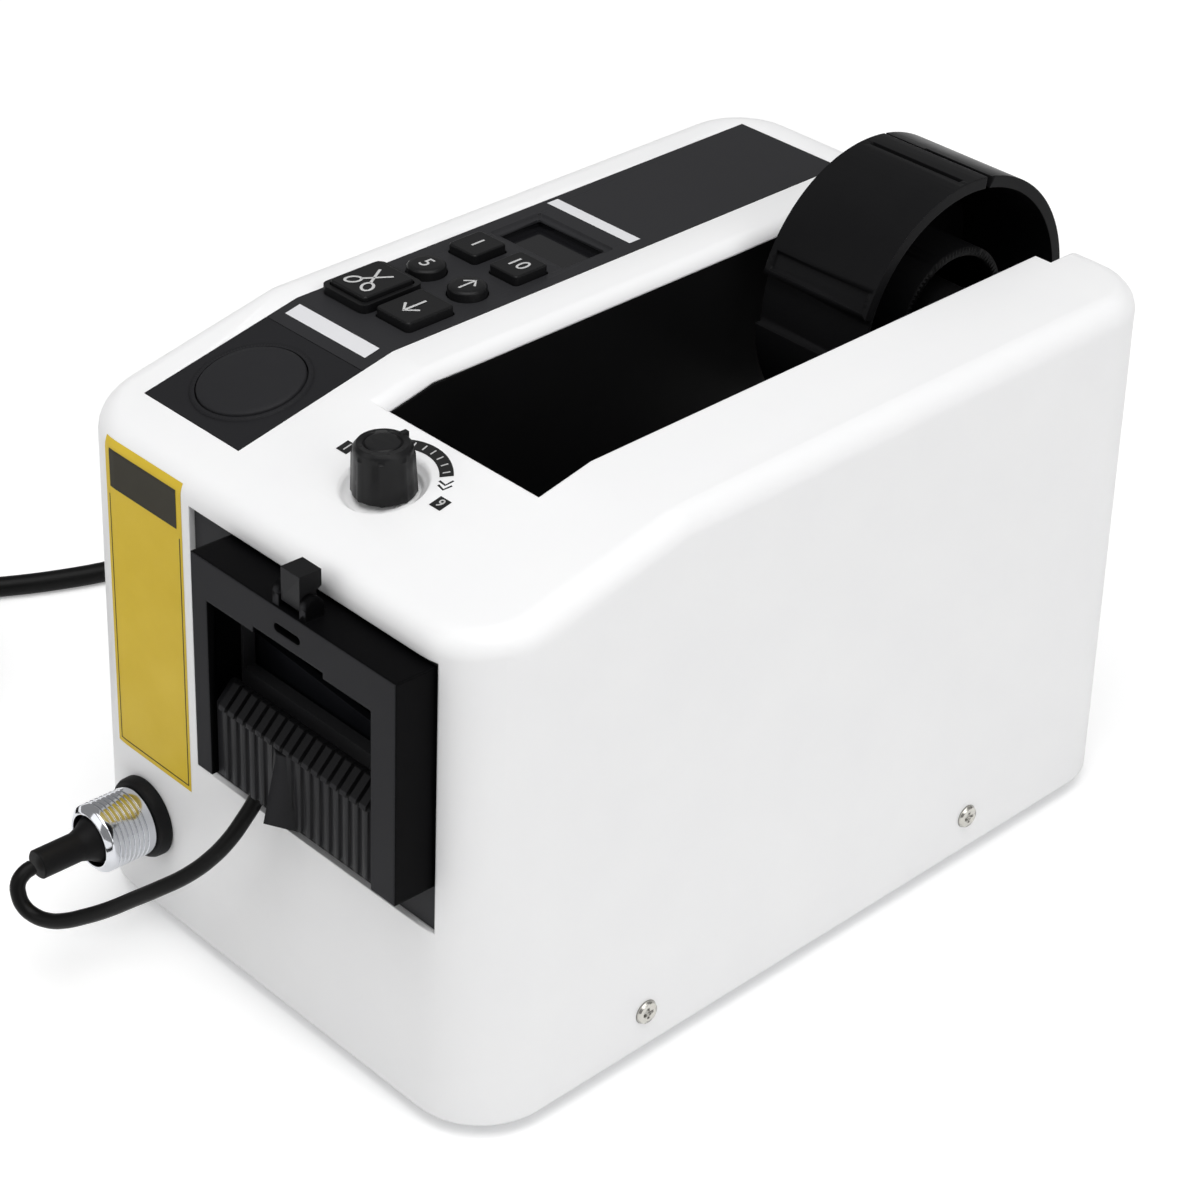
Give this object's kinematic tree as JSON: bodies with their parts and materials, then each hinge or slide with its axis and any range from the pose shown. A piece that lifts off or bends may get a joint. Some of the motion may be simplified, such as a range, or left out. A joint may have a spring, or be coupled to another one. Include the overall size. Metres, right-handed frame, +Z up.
{
  "type": "electric tape dispenser",
  "caption": "Desk-top electric tape dispenser with an open tape bay and reel, a keypad and display on top, and a guarded outlet with a motor feed and a shearing cutter.",
  "frame": {"origin": "on the surface that the feet stand on, under the middle of the machine's box, measured without its cords", "axes": "+Y from the tape outlet at the front to the reel at the back, +X to the right for someone who faces the outlet, +Z up"},
  "size_m": [0.2879, 0.3731, 0.156],
  "materials": {
    "shell_white": "fine moulded satin",
    "liner_black": "satin",
    "reel_plastic": "semi-gloss",
    "panel_black": "satin film",
    "key_plastic": "satin",
    "bezel_grey": "satin",
    "smoked_window": "clear smoked",
    "knob_black": "satin",
    "guard_black": "satin",
    "plate_black": "matt",
    "foot_rubber": "matt",
    "cable_rubber": "satin",
    "roller_rubber": "ground matt",
    "plug_chrome": "polished",
    "turned_steel": "ground",
    "screw_steel": "nickel plated",
    "zinc_steel": "zinc plated",
    "bush_bronze": "sintered",
    "gear_nylon": "satin",
    "circuit_board": "lacquered",
    "transformer_core": "varnished"
  },
  "bodies": {
    "machine": {"housing": "shell_white", "base_plate": "zinc_steel", "rubber_feet": "foot_rubber", "case_screws": "screw_steel", "bay_liner": "liner_black", "axle_seats": "liner_black", "reel_axle": "turned_steel", "control_panel": "panel_black", "button_plate": "panel_black", "cut_key_bezel": "bezel_grey", "display_window": "smoked_window", "display_module": "panel_black", "keypad_board": "circuit_board", "main_board": "circuit_board", "transformer": "transformer_core", "pressure_spring": "turned_steel", "pinch_pivot": "turned_steel", "shaft_bushes": "bush_bronze", "feed_motor": "zinc_steel", "left_frame": "zinc_steel", "right_frame": "zinc_steel", "front_plate": "plate_black", "guard": "guard_black", "guard_apron": "guard_black", "tape_sensor": "guard_black", "cutter_bracket": "zinc_steel", "fixed_blade": "turned_steel", "blade_pivot": "turned_steel", "cutter_motor": "zinc_steel", "connector_ring": "cable_rubber", "sensor_plug": "plug_chrome", "plug_boot": "cable_rubber", "sensor_cable": "cable_rubber", "rocker_switch": "key_plastic", "strain_relief": "cable_rubber", "mains_cord": "cable_rubber", "cord_coil": "cable_rubber", "mains_plug": "cable_rubber"},
    "reel": {"reel_hub": "reel_plastic", "reel_front_pad": "reel_plastic", "reel_rear_pad": "reel_plastic"},
    "feed_drum": {"feed_roller": "roller_rubber", "feed_shaft": "turned_steel", "feed_gear": "gear_nylon"},
    "pinion": {"motor_pinion": "bush_bronze"},
    "pinch_lever": {"pinch_arm": "zinc_steel"},
    "pinch_drum": {"pinch_roller": "roller_rubber"},
    "knob": {"pressure_knob": "knob_black", "knob_shaft": "turned_steel"},
    "big_button": {"feed_button": "key_plastic"},
    "cut_button": {"cut_key": "key_plastic"},
    "down_button": {"down_key": "key_plastic"},
    "up_button": {"up_key": "key_plastic"},
    "preset_button": {"preset_key": "key_plastic"},
    "unit_button_a": {"unit_key_a": "key_plastic"},
    "unit_button_b": {"unit_key_b": "key_plastic"},
    "latch": {"guard_latch": "guard_black"},
    "switch_rocker": {"rocker": "key_plastic"},
    "blade": {"moving_blade": "turned_steel"},
    "crank_disc": {"crank": "turned_steel"}
  },
  "joints": [
    {"name": "reel_spin", "type": "hinge", "parent": "machine", "child": "reel", "pos_m": [0.0146, 0.08068, 0.1203], "axis": [1, 0, 0], "continuous": true},
    {"name": "feed_roller_spin", "type": "hinge", "parent": "machine", "child": "feed_drum", "pos_m": [0.0146, -0.08102, 0.084], "axis": [1, 0, 0], "continuous": true},
    {"name": "pinion_spin", "type": "hinge", "parent": "machine", "child": "pinion", "pos_m": [0.044, -0.07667, 0.06354], "axis": [1, 0, 0], "continuous": true},
    {"name": "pinch_arm_swing", "type": "hinge", "parent": "machine", "child": "pinch_lever", "pos_m": [0.0146, -0.06752, 0.105], "axis": [-1, 0, 0], "range_deg": [0, 8], "stiffness_Nm_per_rad": 0.6, "springref_deg": -8.59, "deforming": ["pressure_spring"]},
    {"name": "pinch_roller_spin", "type": "hinge", "parent": "pinch_lever", "child": "pinch_drum", "pos_m": [0.0146, -0.08102, 0.1004], "axis": [1, 0, 0], "continuous": true},
    {"name": "knob_turn", "type": "hinge", "parent": "machine", "child": "knob", "pos_m": [0.01, -0.07632, 0.12984], "axis": [0, 0, 1], "range_deg": [-135, 135]},
    {"name": "feed_button_press", "type": "slide", "parent": "machine", "child": "big_button", "axis": [0, 0.1961, -0.9806], "range_m": [0, 0.001], "stiffness_N_per_m": 300},
    {"name": "cut_key_press", "type": "slide", "parent": "machine", "child": "cut_button", "axis": [0, 0, -1], "range_m": [0, 0.001], "stiffness_N_per_m": 300},
    {"name": "down_key_press", "type": "slide", "parent": "machine", "child": "down_button", "axis": [0, 0, -1], "range_m": [0, 0.001], "stiffness_N_per_m": 300},
    {"name": "up_key_press", "type": "slide", "parent": "machine", "child": "up_button", "axis": [0, 0, -1], "range_m": [0, 0.001], "stiffness_N_per_m": 300},
    {"name": "preset_key_press", "type": "slide", "parent": "machine", "child": "preset_button", "axis": [0, 0, -1], "range_m": [0, 0.001], "stiffness_N_per_m": 300},
    {"name": "unit_key_a_press", "type": "slide", "parent": "machine", "child": "unit_button_a", "axis": [0, 0, -1], "range_m": [0, 0.001], "stiffness_N_per_m": 300},
    {"name": "unit_key_b_press", "type": "slide", "parent": "machine", "child": "unit_button_b", "axis": [0, 0, -1], "range_m": [0, 0.001], "stiffness_N_per_m": 300},
    {"name": "latch_release", "type": "hinge", "parent": "machine", "child": "latch", "pos_m": [0.0209, -0.10796, 0.12056], "axis": [-1, 0, 0], "range_deg": [0, 12], "stiffness_Nm_per_rad": 0.02},
    {"name": "switch_rock", "type": "hinge", "parent": "machine", "child": "switch_rocker", "pos_m": [-0.042, 0.10748, 0.074], "axis": [1, 0, 0], "range_deg": [0, 20]},
    {"name": "crank_turn", "type": "hinge", "parent": "machine", "child": "crank_disc", "pos_m": [-0.003, -0.09412, 0.062], "axis": [0, -1, 0], "range_deg": [-20, 200]},
    {"name": "blade_swing", "type": "hinge", "parent": "machine", "child": "blade", "pos_m": [-0.0164, -0.09622, 0.09], "axis": [0, -1, 0], "range_deg": [0, 8.5]}
  ],
  "couplings": [
    {"joint": "pinion_spin", "follows": "feed_roller_spin", "ratio": -2.7143},
    {"joint": "pinch_roller_spin", "follows": "feed_roller_spin", "ratio": -1.2857},
    {"joint": "crank_turn", "follows": "blade_swing", "ratio": 21.176}
  ]
}
